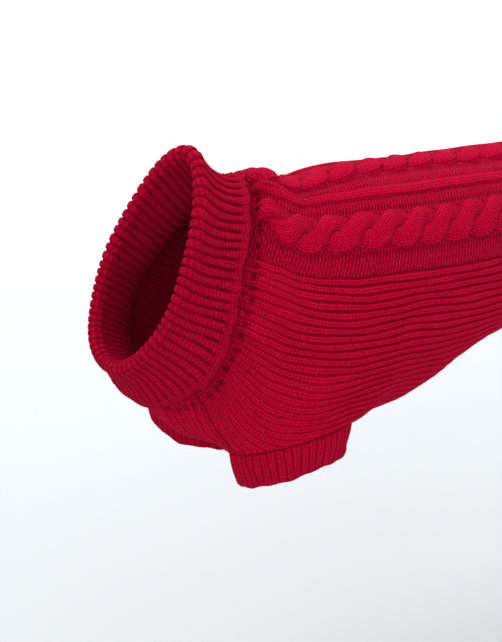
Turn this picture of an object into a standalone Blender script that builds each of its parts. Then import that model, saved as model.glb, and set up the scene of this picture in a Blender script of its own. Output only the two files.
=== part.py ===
"""Cable-knit pullover for a small dog, in the hollow form it has when worn.

The garment is a tube of cloth, open at the neck, the hem and two front legs.
+X runs towards the tail, +Y to the wearer's right, +Z up.  The origin lies on
the inner face of the back, at the withers, where the wearer carries the garment.
The tables below count from a point near the collar's back edge, and ORIGIN is the
true origin's place in them.

Every surface comes from closed rings.  A ring is an egg-shaped loop that is
given by its highest point, its lowest point and its half width, so a ring may
lean.  Angles go round a ring from the spine (0) down the left side (-Y), under
the belly (180 degrees) and up the right side.

All sizes are in millimetres, and MM turns them into Blender's metres.
"""
import math

import bpy
import numpy as np

MM = 0.001
NAME = "dog_pullover"
ORIGIN = (17.0, 0.0, -2.5)    # the back panel's inner face at the withers, in the tables

# ---------------------------------------------------------------- cloth sizes
WALL = 2.5            # thickness of the knitted cloth
NECK_GAP = 0.5        # between the neck seam and the collar, along the cloth
CUFF_GAP = 0.75       # between a leg opening and its cuff, whose walls meet as a mitre
EASE = 0.25           # each body panel keeps this far from the body seam's middle

# ---------------------------------------------------------------- body rings
# along: place of the ring, 0 at the neck seam and 1 at the hem seam
# egg:   how much narrower the ring is above than below
# bow:   how far its sides lie ahead of the straight line from top to bottom
# square: 2 is an ellipse, more is boxier
RING_COLUMNS = ("along", "top_x", "top_z", "bottom_x", "bottom_z",
                "half_width", "egg", "bow", "square")
BODY_RINGS = (
    (0.000, -4, -7, -66, -106, 38, 0.34, 4, 2.0),      # neck seam
    (0.035, 3, -5, -64, -117, 44, 0.30, 4, 2.0),       # under the collar's edge
    (0.062, 9, 1, -60, -126, 51, 0.22, 3, 2.0),        # cloth bunched behind it
    (0.090, 17, 0, -54, -136, 55, 0.18, 2, 2.1),
    (0.130, 31, -10, -42, -147, 60, 0.14, 2, 2.1),     # dip behind the bunch
    (0.220, 52, -12, -16, -163, 65, 0.10, 0, 2.2),     # shoulders
    (0.340, 80, -11, 24, -169, 68, 0.06, 0, 2.3),      # deepest chest
    (0.460, 112, -14, 74, -164, 67, 0.04, 0, 2.3),
    (0.600, 164, -19, 130, -146, 64, 0.03, 0, 2.2),
    (0.750, 220, -24, 180, -132, 61, 0.02, 0, 2.2),
    (0.900, 290, -29, 225, -124, 58, 0.02, 0, 2.2),
    (1.000, 345, -32, 255, -122, 57, 0.02, 0, 2.2),    # hem seam
)
HEM_RINGS = (
    (0.0, 345.7, -32.0, 255.7, -122.0, 57.0, 0.02, 0, 2.2),
    (0.5, 363.5, -33.5, 269.0, -123.0, 56.0, 0.02, 0, 2.2),
    (1.0, 382.0, -35.5, 283.5, -124.5, 56.5, 0.02, 0, 2.2),
)
COLLAR_RIM = (0.0, -35, 22, -91, -92, 34, 0.15, 0, 2.0)     # the collar's fold
COLLAR_EDGE = (0.0, -1, 1, -74, -118, 50, 0.26, 6, 2.0)     # its turned-down edge

# ---------------------------------------------------------------- leg openings
# Each opening is an ellipse in (along, angle).  The cloth round it is drawn
# down to the sleeve's seam ring, less and less out to HOLE_REACH.
HOLE_ALONG = 0.265
HOLE_ALONG_RADIUS = 0.125
HOLE_ANGLE = math.radians(138)
HOLE_ANGLE_RADIUS = math.radians(24)
HOLE_REACH = 2.6
HOLE_FALLOFF = 2.2

# slope_x and slope_y are the ring's rise towards the tail and towards the spine
SLEEVE_COLUMNS = ("x", "y", "z", "radius_x", "radius_y", "slope_x", "slope_y")
SLEEVES = {
    "left": {"side": -1,
             "seam": (7.7, 41, -147.5, 41, 27, 0.03, -0.27),
             "edge": (7.0, 41, -170.0, 36, 24, 0.05, -0.36)},
    "right": {"side": 1,
              "seam": (6.0, 41, -144.0, 41, 27, -0.05, -0.34),
              "edge": (3.0, 42, -166.0, 36, 24, -0.12, -0.46)},
}

# ---------------------------------------------------------------- knit strips
# Strips of the back panel, from the spine out to each side, in cloth
# millimetres at full width, with how far their middle stands out.
STRIP_COLUMNS = ("name", "start", "end", "rise")
STRIPS = (
    ("centre_cable", 0.0, 13.0, 2.4),
    ("purl_ground", 13.0, 23.0, 0.0),
    ("knit_ridge", 23.0, 30.0, 0.8),
    ("purl_ground", 30.0, 40.0, 0.0),
    ("side_cable", 40.0, 63.0, 2.4),
    ("purl_ground", 63.0, 76.0, 0.0),
)
CABLE_PANEL = 76.0
# the cable panel is gathered at the neck and stretched over the ribs
STRETCH_COLUMNS = ("along", "factor")
STRETCH = ((0.0, 0.58), (0.1, 0.90), (0.2, 1.00), (0.34, 1.10), (0.5, 1.17),
           (0.7, 1.13), (1.0, 1.05))

# ---------------------------------------------------------------- mesh steps
RIB_COLUMNS = 7            # columns of the ribbed side, below the cable panel
CHEST_COLUMNS = 7
STATIONS_NECK = (0.0, 0.02, 0.035, 0.05, 0.064, 0.082, 0.104)
STATIONS_ROUND_HOLE = 12
STATIONS_REAR = (0.43, 0.48, 0.54, 0.60, 0.68, 0.76, 0.84, 0.92, 1.0)
CUFF_STEPS = 2 * STATIONS_ROUND_HOLE
COLLAR_FOLD_RADIUS = 2.6   # of the middle of the cloth
NAPE_LEAN = 0.31           # how steeply the turned-down layer drops behind the fold at the nape

WOOL = {
    "back_panel": (0.300, 0.003, 0.018),
    "chest_panel": (0.240, 0.002, 0.015),
    "collar": (0.330, 0.003, 0.020),
    "cuff": (0.280, 0.003, 0.018),
    "hem_band": (0.260, 0.003, 0.016),
}
WOOL_ROUGHNESS = 0.9


# ================================================================ geometry
def smooth(table, column, at):
    """Read one column of a table at any place, on a smooth cubic curve."""
    rows = np.array(table, float)
    x, y = rows[:, 0], rows[:, column]
    step = np.diff(x)
    slope = np.diff(y) / step
    tangent = np.empty_like(y)
    tangent[0], tangent[-1] = slope[0], slope[-1]
    tangent[1:-1] = (slope[:-1] * step[1:] + slope[1:] * step[:-1]) / (step[1:] + step[:-1])
    at = np.asarray(at, float)
    i = np.clip(np.searchsorted(x, at, side="right") - 1, 0, len(x) - 2)
    t = (at - x[i]) / step[i]
    return ((2 * t**3 - 3 * t**2 + 1) * y[i] + (t**3 - 2 * t**2 + t) * step[i] * tangent[i]
            + (3 * t**2 - 2 * t**3) * y[i + 1] + (t**3 - t**2) * step[i] * tangent[i + 1])


def ring_points(ring, angle):
    """Points of an egg-shaped ring.  ring holds RING_COLUMNS without 'along'."""
    top_x, top_z, bottom_x, bottom_z, half_width, egg, bow, square = ring
    half_x, half_z = (top_x - bottom_x) / 2, (top_z - bottom_z) / 2
    half_height = np.hypot(half_x, half_z)
    power = 2.0 / square
    c, s = np.cos(angle), np.sin(angle)
    up = np.sign(c) * np.abs(c)**power
    out = np.sign(s) * np.abs(s)**power
    bulge = bow * out**2
    x = (top_x + bottom_x) / 2 + half_x * up - bulge * half_z / half_height
    z = (top_z + bottom_z) / 2 + half_z * up + bulge * half_x / half_height
    y = -half_width * out * (1 - egg * up)
    return np.stack([x, y, z], axis=-1)


def body_ring(along):
    return [smooth(BODY_RINGS, column, along) for column in range(1, len(RING_COLUMNS))]


def sleeve_ring(ring, side, turn):
    """Points of a sleeve's ring.  turn is 0 at its tail side and 90 at its outer side."""
    x, y, z, radius_x, radius_y, slope_x, slope_y = ring
    dx = radius_x * np.cos(turn)
    dy = radius_y * np.sin(turn)
    return np.stack([x + dx, side * (y + dy), z + slope_x * dx - slope_y * dy], axis=-1)


def body_points(along, angle):
    """The cloth's outer face, with the cloth round each leg opening drawn down."""
    along, angle = np.broadcast_arrays(np.asarray(along, float), np.asarray(angle, float))
    points = ring_points(body_ring(along), angle)
    for sleeve in SLEEVES.values():
        side = sleeve["side"]
        own_angle = angle if side < 0 else 2 * math.pi - angle
        east = (along - HOLE_ALONG) / HOLE_ALONG_RADIUS
        north = (HOLE_ANGLE - own_angle) / HOLE_ANGLE_RADIUS
        radius = np.hypot(east, north)
        turn = np.arctan2(north, east)
        lip = ring_points(body_ring(HOLE_ALONG + HOLE_ALONG_RADIUS * np.cos(turn)),
                          HOLE_ANGLE - HOLE_ANGLE_RADIUS * np.sin(turn))
        lip[..., 1] *= -side
        pull = sleeve_ring(sleeve["seam"], side, turn) - lip
        weight = np.clip(1 - (radius - 1) / (HOLE_REACH - 1), 0, 1)**HOLE_FALLOFF
        points = points + pull * weight[..., None]
    return points


def hole_half_angle(along):
    """Half the opening's reach round the ring at this station, as an angle."""
    across = np.clip((along - HOLE_ALONG) / HOLE_ALONG_RADIUS, -1, 1)
    return HOLE_ANGLE_RADIUS * math.sqrt(1 - across * across)


def stations():
    """Places along the body: evenly turned round the leg openings, wider elsewhere."""
    turned = np.linspace(math.pi, 0, STATIONS_ROUND_HOLE + 1)
    return np.concatenate([STATIONS_NECK, HOLE_ALONG + HOLE_ALONG_RADIUS * np.cos(turned),
                           STATIONS_REAR])


def side_angles(along, edge_angle, cloth_widths):
    """Angles at which a station reaches the given distances from the spine."""
    angle = np.linspace(0, edge_angle, 200)
    path = body_points(along, angle)
    length = np.concatenate([[0], np.cumsum(np.linalg.norm(np.diff(path, axis=0), axis=1))])
    reach = length[-1] - EASE
    start = CABLE_PANEL * smooth(STRETCH, 1, along)
    ribs = start + (reach - start) * np.arange(1, RIB_COLUMNS + 1) / RIB_COLUMNS
    wanted = np.concatenate([np.array(cloth_widths) / CABLE_PANEL * start, ribs])
    return np.interp(wanted, length, angle)


def strip_columns():
    """Columns of half the cable panel: distance from the spine, and rise."""
    columns = []
    for name, start, end, rise in STRIPS:
        if name == "centre_cable":
            columns += [(0.0, rise), (end * 0.7, rise)]
        elif rise:
            inset = (end - start) * 0.2
            columns += [(start + inset, rise), (end - inset, rise)]
        columns.append((end, 0.0))
    return columns


def outward(grid, closed=False):
    """Unit normals of a grid of points, pointing out of the garment."""
    if closed:
        grid = np.concatenate([grid[:, -1:], grid, grid[:, :1]], axis=1)
    normal = unit(np.cross(np.gradient(grid, axis=1), np.gradient(grid, axis=0)))
    return normal[:, 1:-1] if closed else normal


def unit(vectors):
    return vectors / np.linalg.norm(vectors, axis=-1, keepdims=True)


# ================================================================ mesh helpers
def material(name, colour):
    made = bpy.data.materials.new(name)
    made.use_nodes = True
    shader = made.node_tree.nodes["Principled BSDF"]
    shader.inputs["Base Color"].default_value = (*colour, 1.0)
    shader.inputs["Roughness"].default_value = WOOL_ROUGHNESS
    shader.inputs["Metallic"].default_value = 0.0
    return made


def cloth(name, outer, inner, colour, closed=False):
    """A piece of cloth between two grids of points, one on each of its faces.

    Rows run from neck to hem, and a closed piece joins its last column to its
    first.
    """
    rows, columns = outer.shape[:2]
    under = rows * columns
    reach = columns if closed else columns - 1
    faces = []

    def wall(a, b):
        faces.append((a, b, b + under, a + under))

    for i in range(rows - 1):
        for j in range(reach):
            k = (j + 1) % columns
            a, b = i * columns + j, i * columns + k
            c, d = b + columns, a + columns
            faces.append((a, b, c, d))
            faces.append((a + under, d + under, c + under, b + under))
            if i == 0:
                wall(b, a)
            if i == rows - 2:
                wall(d, c)
        if not closed:
            wall(i * columns, (i + 1) * columns)
            wall((i + 2) * columns - 1, (i + 1) * columns - 1)
    points = (np.concatenate([outer.reshape(-1, 3), inner.reshape(-1, 3)]) - ORIGIN) * MM
    mesh = bpy.data.meshes.new(name)
    mesh.from_pydata([tuple(p) for p in points], [], faces)
    mesh.update()
    mesh.shade_smooth()
    piece = bpy.data.objects.new(name, mesh)
    collection.objects.link(piece)
    piece.data.materials.append(material("wool_" + name, colour))
    return piece


# ================================================================ the pieces
def back_grid(widths):
    """Points of the back and both sides, down to the body seams and leg openings."""
    rows = []
    for along in stations():
        edge = HOLE_ANGLE - hole_half_angle(along)
        half = side_angles(along, edge, widths)
        # the right side's columns mirror the left's, and both share the spine
        rows.append(body_points(along, np.concatenate([-half[:0:-1], half]) % (2 * math.pi)))
    return np.array(rows)


def chest_grid():
    """Points of the chest and belly, from one body seam to the other."""
    rows = []
    for along in stations():
        a_little = 0.01
        seam, beside = body_points(along, HOLE_ANGLE + np.array([0, a_little]))
        ease = EASE * a_little / np.linalg.norm(beside - seam)
        edge = HOLE_ANGLE + hole_half_angle(along) + ease
        rows.append(body_points(along, np.linspace(edge, 2 * math.pi - edge,
                                                   CHEST_COLUMNS + 1)))
    return np.array(rows)


def seam_angles(along):
    """Angles of the two panels' columns at an end of the body, once round."""
    half = side_angles(along, HOLE_ANGLE, [width for width, rise in strip_columns()])
    half[-1] = HOLE_ANGLE
    chest = np.linspace(HOLE_ANGLE, 2 * math.pi - HOLE_ANGLE, CHEST_COLUMNS + 1)[1:-1]
    return np.concatenate([half, chest, 2 * math.pi - half[:0:-1]])


def share(*places):
    """Give pieces that meet at a seam one wall direction there, as a mitre."""
    shared = unit(sum(normals[at] for normals, at in places))
    for normals, at in places:
        normals[at] = shared


def body_panels(cuffs):
    """The back panel and the chest panel, mitred to each other and to the cuffs."""
    columns = strip_columns()
    back = back_grid([width for width, rise in columns])
    chest = chest_grid()
    back_out, chest_out = outward(back), outward(chest)
    first = len(STATIONS_NECK)
    last = first + STATIONS_ROUND_HOLE
    for i in range(len(back)):
        for side_name, back_edge, chest_edge in (("left", -1, 0), ("right", 0, -1)):
            back_place = (back_out, (i, back_edge))
            chest_place = (chest_out, (i, chest_edge))
            if not first <= i <= last:
                share(back_place, chest_place)
                continue
            # the cuff's columns start at the tail side and go round by the outside
            outer = last - i
            inner = -outer % CUFF_STEPS
            cuff_out = cuffs[side_name]["out"]
            if i in (first, last):
                share(back_place, chest_place, (cuff_out, (0, outer)))
            else:
                share(back_place, (cuff_out, (0, outer)))
                share(chest_place, (cuff_out, (0, inner)))
    half_rise = np.array([rise for width, rise in columns] + [0.0] * RIB_COLUMNS)
    rise = np.concatenate([half_rise[:0:-1], half_rise])
    # the cables start flat under the collar's edge
    start, full = BODY_RINGS[1][0], BODY_RINGS[3][0]
    fade = np.clip((stations() - start) / (full - start), 0, 1)
    stands_out = rise[None, :, None] * fade[:, None, None]
    cloth("back_panel", back + back_out * stands_out, back - back_out * WALL,
          WOOL["back_panel"])
    cloth("chest_panel", chest, chest - chest_out * WALL, WOOL["chest_panel"])


def collar():
    """A deep strip of rib, sewn to the neck, folded over at its rim and turned down."""
    angle = seam_angles(0.0)
    neck = body_points(0.0, angle)
    behind = body_points(0.012, angle)
    rim = ring_points(COLLAR_RIM[1:], angle)
    edge = ring_points(COLLAR_EDGE[1:], angle)

    forward = unit(neck - behind)
    round_neck = unit(np.roll(neck, -1, axis=0) - np.roll(neck, 1, axis=0))
    out = unit(np.cross(round_neck, -forward))
    start = neck + forward * NECK_GAP - out * WALL / 2
    rise = unit(rim - start)
    round_rim = unit(np.roll(rim, -1, axis=0) - np.roll(rim, 1, axis=0))
    rim_out = unit(np.cross(round_rim, -rise))
    fold_in = rim - rise * COLLAR_FOLD_RADIUS - rim_out * COLLAR_FOLD_RADIUS

    def curve(a, b, leave, arrive, t):
        reach = np.linalg.norm(b - a, axis=-1, keepdims=True)
        return ((2 * t**3 - 3 * t**2 + 1) * a + (t**3 - 2 * t**2 + t) * reach * leave
                + (3 * t**2 - 2 * t**3) * b + (t**3 - t**2) * reach * arrive)

    rows = [curve(start, fold_in, forward, rise, t) for t in (0, 0.12, 0.35, 0.6, 0.82, 1)]
    fold_out = fold_in + 2 * COLLAR_FOLD_RADIUS * rim_out
    for turn in np.radians((45, 90, 135)):
        rows.append(fold_in + COLLAR_FOLD_RADIUS * ((1 - math.cos(turn)) * rim_out
                                                    + math.sin(turn) * rise))
    body_run = unit(body_points(0.06, angle) - body_points(0.03, angle))
    settle = unit(body_run * 0.8 + unit(edge - fold_out) * 0.6)
    nape = ((1 + np.cos(angle)) / 2)[:, None]**2
    drop = -unit(rise + rim_out * NAPE_LEAN * nape)
    rows += [curve(fold_out, edge, drop, settle, t) for t in (0, 0.2, 0.4, 0.6, 0.8, 1)]
    middle = np.array(rows)
    half_wall = outward(middle[::-1], closed=True)[::-1] * WALL / 2
    cloth("collar", (middle + half_wall)[::-1], (middle - half_wall)[::-1],
          WOOL["collar"], closed=True)


def cuff_tube(sleeve):
    """Points and wall directions of a cuff, from its seam ring to its open edge."""
    turn = np.linspace(0, 2 * math.pi, CUFF_STEPS, endpoint=False)
    seam = sleeve_ring(sleeve["seam"], sleeve["side"], turn)
    edge = sleeve_ring(sleeve["edge"], sleeve["side"], turn)
    seam = seam + unit(edge - seam) * CUFF_GAP
    points = np.array([seam + (edge - seam) * part for part in (0, 1 / 3, 2 / 3, 1)])
    return {"points": points, "out": outward(points, closed=True) * -sleeve["side"]}


def cuff(name, tube, side):
    """A ribbed band on the leg opening."""
    # columns go the same way round the garment on both sides
    points, out = tube["points"][:, ::-side], tube["out"][:, ::-side]
    cloth(name, points, points - out * WALL, WOOL["cuff"], closed=True)


def hem_band():
    """A ribbed band round the tail end."""
    angle = seam_angles(1.0)
    rows = []
    for along in (0, 1 / 3, 2 / 3, 1):
        ring = [smooth(HEM_RINGS, column, along) for column in range(1, len(RING_COLUMNS))]
        rows.append(ring_points(ring, angle))
    tube = np.array(rows)
    cloth("hem_band", tube, tube - outward(tube, closed=True) * WALL, WOOL["hem_band"],
          closed=True)


for old in list(bpy.data.objects):
    bpy.data.objects.remove(old, do_unlink=True)
collection = bpy.data.collections.new(NAME)
bpy.context.scene.collection.children.link(collection)

tubes = {side_name: cuff_tube(sleeve) for side_name, sleeve in SLEEVES.items()}
body_panels(tubes)
collar()
for side_name, sleeve in SLEEVES.items():
    cuff("cuff_" + side_name, tubes[side_name], sleeve["side"])
hem_band()
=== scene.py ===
"""Looks of the cable-knit dog pullover: knitted shells with their ribs, cables and creases.

Every form is built from the same rings as the CAD part, in the same frame.  Tables are in
millimetres from a point near the collar's back edge; ORIGIN is the true origin's place there.
Angles go round a ring from the spine (0) down the wearer's left side (-Y).
"""

import math

import bpy
import numpy as np
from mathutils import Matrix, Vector


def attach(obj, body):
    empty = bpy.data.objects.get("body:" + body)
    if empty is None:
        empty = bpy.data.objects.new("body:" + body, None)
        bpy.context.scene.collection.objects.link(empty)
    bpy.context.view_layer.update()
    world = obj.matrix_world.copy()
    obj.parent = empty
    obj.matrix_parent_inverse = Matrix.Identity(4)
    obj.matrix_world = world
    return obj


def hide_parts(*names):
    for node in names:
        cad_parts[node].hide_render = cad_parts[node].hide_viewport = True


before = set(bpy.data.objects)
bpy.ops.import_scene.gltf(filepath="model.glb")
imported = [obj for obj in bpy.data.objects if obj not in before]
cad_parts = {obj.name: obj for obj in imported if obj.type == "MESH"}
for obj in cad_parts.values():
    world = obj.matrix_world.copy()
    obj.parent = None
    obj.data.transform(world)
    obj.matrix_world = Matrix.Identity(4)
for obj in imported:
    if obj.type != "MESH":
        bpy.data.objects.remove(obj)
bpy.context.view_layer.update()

MM = 0.001
ORIGIN = np.array((17.0, 0.0, -2.5))

# ---- the form
WALL = 2.5
NECK_GAP = 0.5
CUFF_GAP = 0.75
RING_COLUMNS = ("along", "top_x", "top_z", "bottom_x", "bottom_z",
                "half_width", "egg", "bow", "square")
BODY_RINGS = (
    (0, -4, -7, -66, -106, 38, 0.34, 4, 2),
    (0.035, 3, -5, -64, -117, 44, 0.3, 4, 2),
    (0.062, 9, 1, -60, -126, 51, 0.22, 3, 2),
    (0.09, 17, 0, -54, -136, 55, 0.18, 2, 2.1),
    (0.13, 31, -10, -42, -147, 60, 0.14, 2, 2.1),
    (0.22, 52, -12, -16, -163, 65, 0.1, 0, 2.2),
    (0.34, 80, -11, 24, -169, 68, 0.06, 0, 2.3),
    (0.46, 112, -14, 74, -164, 67, 0.04, 0, 2.3),
    (0.6, 164, -19, 130, -146, 64, 0.03, 0, 2.2),
    (0.75, 220, -24, 180, -132, 61, 0.02, 0, 2.2),
    (0.9, 290, -29, 225, -124, 58, 0.02, 0, 2.2),
    (1, 345, -32, 255, -122, 57, 0.02, 0, 2.2),
)
HEM_RINGS = (
    (0, 345.7, -32, 255.7, -122, 57, 0.02, 0, 2.2),
    (0.5, 363.5, -33.5, 269, -123, 56, 0.02, 0, 2.2),
    (1, 382, -35.5, 283.5, -124.5, 56.5, 0.02, 0, 2.2),
)
COLLAR_RIM = (-35, 22, -91, -92, 34, 0.15, 0, 2.0)
COLLAR_EDGE = (-1, 1, -74, -118, 50, 0.26, 6, 2.0)
COLLAR_FOLD_RADIUS = 2.6
NAPE_LEAN = 0.31
HOLE_ALONG = 0.265
HOLE_ALONG_RADIUS = 0.125
HOLE_ANGLE = math.radians(138)
HOLE_ANGLE_RADIUS = math.radians(24)
HOLE_REACH = 2.6
HOLE_FALLOFF = 2.2
# x, y, z, radius_x, radius_y, slope_x, slope_y
SLEEVES = {
    "left": {"side": -1,
             "seam": (7.7, 41, -147.5, 41, 27, 0.03, -0.27),
             "edge": (7.0, 41, -170.0, 36, 24, 0.05, -0.36)},
    "right": {"side": 1,
              "seam": (6.0, 41, -144.0, 41, 27, -0.05, -0.34),
              "edge": (3.0, 42, -166.0, 36, 24, -0.12, -0.46)},
}

# ---- the knit
ROW = 2.1  # height of one row of stitches
PURL_ROW = 0.86  # rows of bars on it, to each row of stitches
PURL_WALE = 4.4  # width of one stitch on the purl ground
PURL_SLANT = 0.09  # rows that the bars climb for each millimetre round the body
# How the knit lies when worn: at each place along the body, the distances round it from the
# spine to the middles of the ridge and of the side cable, and to rib grooves 0, 5, 10, 15, 20.
KNIT_LINES = (
    (0, 8, 20, 45, 63, 80, 94, 104),
    (0.04, 10, 25, 54, 75, 96, 112, 124),
    (0.06, 15, 32, 62, 84, 105, 122, 134),
    (0.075, 20, 39, 67, 88, 110, 128, 142),
    (0.09, 23, 44, 69, 91, 113, 132, 149),
    (0.11, 24, 46, 71, 92, 115, 136, 155),
    (0.13, 22.5, 45.5, 70.5, 92.5, 116, 137.5, 158.5),
    (0.16, 21, 45, 72, 94.5, 118, 141, 163),
    (0.2, 22.5, 48, 75, 98.5, 122, 146, 167),
    (0.25, 25, 51, 79, 102.5, 126, 149, 169),
    (0.3, 27.5, 54, 82, 106, 129.5, 151, 170),
    (0.36, 30, 57, 84, 108, 131, 151, 171),
    (0.42, 31, 58, 84.5, 107, 129.5, 150, 171),
    (0.5, 31, 58.5, 85, 108, 131, 153, 174),
    (0.6, 30.5, 57.5, 84.5, 108.5, 132, 155, 178),
    (0.75, 29.5, 56, 82.5, 106.5, 131, 155, 179),
    (1, 28, 53.5, 80, 104, 128, 152, 176),
)
PANEL_LINES = (26.5, 51.5, 76.0)  # ridge, side cable and rib groove 0 on the flat cloth
CABLE_PANEL = PANEL_LINES[-1]
GROOVES = (0, 5, 10, 15, 20)
FAR_GROOVES = 10  # grooves read on past the last column at the same pitch
# side of the spine, half width, phase, and where along the body it rises and stands full
CABLES = (
    (1, 12.6, 0.30, 0.030, 0.065),
    (0, 12.2, 0.55, 0.055, 0.125),
    (-1, 12.6, 0.30, 0.030, 0.065),
)
CROSSING = 20.8
DIVE = 0.13  # how much sooner a strand dives than it rises, of a crossing
STRAND_SWING, STRAND_HALF = 0.46, 0.53  # to each side, and half its width, of the cable's
STRAND_CLIMB, STRAND_ROUND = 1.5, 2.6  # over its neighbour, and its own roundness
STRAND_WALE = 3.1  # width of one stitch on a strand
NO_STRAND = -9.0  # the height where there is none
CABLE_FOOT = -2.0  # how low a strand may reach before the ground covers it
VALLEY_FLOOR, VALLEY_WIDTH = -1.6, 0.55
CABLE_STANDS = 0.5  # above the wall
RIDGE = (26.5, 3.6, 1.5, 0.22, 0.16)  # middle, half width, height; the line down it
# the ground dips beside everything that stands out of it, and is painted with shade there
DIP_EDGES = (13.0, 22.4, 30.6, 39.0, 64.0)
DIP_DEPTH, DIP_WIDTH = 0.7, 1.7
DIP_SHADE, DIP_SHADE_WIDTH = 0.42, 1.5
RIB_RISE, RIB_DEPTH = 1.15, 1.6  # crown above the wall, groove below the crown
RIB_SHARE = 0.80  # of a rib's pitch that its crown fills
CHEST_PITCH = 4.6
SEAM_WIDTH, SEAM_DIP = 1.3, 0.3
CHAIN_AT, CHAIN_WIDTH, CHAIN_RISE = 2.8, 1.1, 0.5  # the picked-up edge by the leg openings
COLLAR_RIBS = 64
COLLAR_SHARE = 0.80
COLLAR_SLANT = 0.035  # share of the way round
COLLAR_HANGS = 112.0  # degrees from the spine
CUFF_RIBS = 46
HEM_RIBS = 58
CUFF_TUCK = 1.5  # by which the front of a cuff's edge is drawn in
UNEVEN = 0.45  # height of the slow swell of the cloth
INSIDE_FOLLOWS = 0.9  # share of the creases that show on the inside
# the collar's seam gathers the cloth in eyelets, with puckers running back from them, and the
# eyelets are painted with shade
GATHER_ALONG = ((0.0, 0.043), (40.0, 0.0465), (70.0, 0.049), (100.0, 0.054), (180.0, 0.054))
GATHER_PITCH = 6.6
GATHER_SEED = 7
EYELET_SIZE, EYELET_DEPTH, EYELET_SHADE = 1.75, 2.6, 1.8
PUCKER_WIDTH, PUCKER_DEPTH = 2.3, -1.1

# ---- mesh steps
FRONT_STEP, REAR_STEP = 1.1, 1.25
HOLE_ROWS = 96
PANEL_COLUMNS = 228  # over the cable panel, both sides
SIDE_COLUMNS = 216
CHEST_COLUMNS = 96
EDGE_COLUMNS = 10  # the outer columns of the sides, where creases die out
COARSE_ROW, COARSE_COLUMN = 3, 3  # the inside has one row and column to each three
LENGTH_SAMPLES, HALF_SAMPLES, RING_SAMPLES = 1200, 260, 1440
ROLL_ROW = 0.9  # length of cloth between the rows of a rolled edge


def unit(vectors):
    return vectors / np.linalg.norm(vectors, axis=-1, keepdims=True)


def soft_step(t):
    t = np.clip(t, 0, 1)
    return t * t * (3 - 2 * t)


def bell(distance, width):
    return np.exp(-(distance / width)**2)


def smooth(table, column, at):
    """A table's column read at places of its first one, on a curve through its rows."""
    rows = np.array(table, float)
    x, y = rows[:, 0], rows[:, column]
    step = np.diff(x)
    slope = np.diff(y) / step
    tangent = np.empty_like(y)
    tangent[0], tangent[-1] = slope[0], slope[-1]
    tangent[1:-1] = (slope[:-1] * step[1:] + slope[1:] * step[:-1]) / (step[1:] + step[:-1])
    at = np.asarray(at, float)
    i = np.clip(np.searchsorted(x, at, side="right") - 1, 0, len(x) - 2)
    t = (at - x[i]) / step[i]
    return ((2 * t**3 - 3 * t**2 + 1) * y[i] + (t**3 - 2 * t**2 + t) * step[i] * tangent[i]
            + (3 * t**2 - 2 * t**3) * y[i + 1] + (t**3 - t**2) * step[i] * tangent[i + 1])


def ring_points(ring, angle):
    top_x, top_z, bottom_x, bottom_z, half_width, egg, bow, square = ring
    half_x, half_z = (top_x - bottom_x) / 2, (top_z - bottom_z) / 2
    half_height = np.hypot(half_x, half_z)
    power = 2.0 / square
    c, s = np.cos(angle), np.sin(angle)
    up = np.sign(c) * np.abs(c)**power
    out = np.sign(s) * np.abs(s)**power
    bulge = bow * out**2
    x = (top_x + bottom_x) / 2 + half_x * up - bulge * half_z / half_height
    z = (top_z + bottom_z) / 2 + half_z * up + bulge * half_x / half_height
    y = -half_width * out * (1 - egg * up)
    return np.stack([x, y, z], axis=-1)


def body_ring(along):
    return [smooth(BODY_RINGS, column, along) for column in range(1, len(RING_COLUMNS))]


def sleeve_ring(ring, side, turn):
    x, y, z, radius_x, radius_y, slope_x, slope_y = ring
    dx = radius_x * np.cos(turn)
    dy = radius_y * np.sin(turn)
    return np.stack([x + dx, side * (y + dy), z + slope_x * dx - slope_y * dy], axis=-1)


def body_points(along, angle):
    along, angle = np.broadcast_arrays(np.asarray(along, float), np.asarray(angle, float))
    points = ring_points(body_ring(along), angle)
    for sleeve in SLEEVES.values():
        side = sleeve["side"]
        own_angle = angle if side < 0 else 2 * math.pi - angle
        east = (along - HOLE_ALONG) / HOLE_ALONG_RADIUS
        north = (HOLE_ANGLE - own_angle) / HOLE_ANGLE_RADIUS
        radius = np.hypot(east, north)
        turn = np.arctan2(north, east)
        lip = ring_points(body_ring(HOLE_ALONG + HOLE_ALONG_RADIUS * np.cos(turn)),
                          HOLE_ANGLE - HOLE_ANGLE_RADIUS * np.sin(turn))
        lip[..., 1] *= -side
        pull = sleeve_ring(sleeve["seam"], side, turn) - lip
        weight = np.clip(1 - (radius - 1) / (HOLE_REACH - 1), 0, 1)**HOLE_FALLOFF
        points = points + pull * weight[..., None]
    return points


def hole_half_angle(along):
    """Half of the leg opening's angle at each place along the body."""
    across = np.clip((along - HOLE_ALONG) / HOLE_ALONG_RADIUS, -1, 1)
    return HOLE_ANGLE_RADIUS * np.sqrt(1 - across * across)


def outward(grid, closed=False):
    """Unit normals of a grid; a closed one joins its last column to its first."""
    if closed:
        grid = np.concatenate([grid[:, -2:], grid, grid[:, :2]], axis=1)
    normal = unit(np.cross(np.gradient(grid, axis=1), np.gradient(grid, axis=0)))
    return normal[:, 2:-2] if closed else normal


def path_length(points, axis):
    step = np.linalg.norm(np.diff(points, axis=axis), axis=-1)
    return np.concatenate([np.zeros_like(np.take(step, [0], axis)), np.cumsum(step, axis)],
                          axis)


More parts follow.
